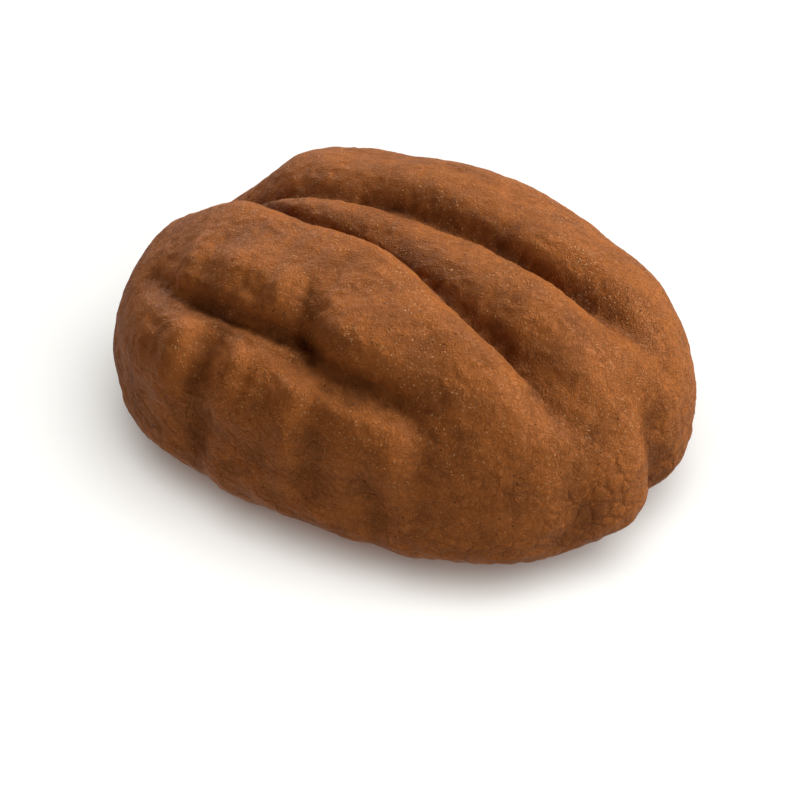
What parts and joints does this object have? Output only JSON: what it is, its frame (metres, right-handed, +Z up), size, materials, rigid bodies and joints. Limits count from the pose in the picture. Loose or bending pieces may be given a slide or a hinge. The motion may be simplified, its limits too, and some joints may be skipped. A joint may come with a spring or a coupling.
{
  "type": "pecan kernel",
  "caption": "Shelled pecan kernel with long furrows between rounded lobes, lying on a small flat spot.",
  "frame": {"origin": "middle of the footprint, on the surface that the kernel lies on", "axes": "+Z up through the furrowed back, +X along the kernel from its notched end to its blunt end, -Y towards the flank that the picture shows"},
  "size_m": [0.0238, 0.0188, 0.0107],
  "materials": {
    "seed_coat": "thin papery brown seed coat, satin, finely wrinkled and speckled"
  },
  "bodies": {
    "root": {"kernel": "seed_coat"}
  },
  "joints": []
}
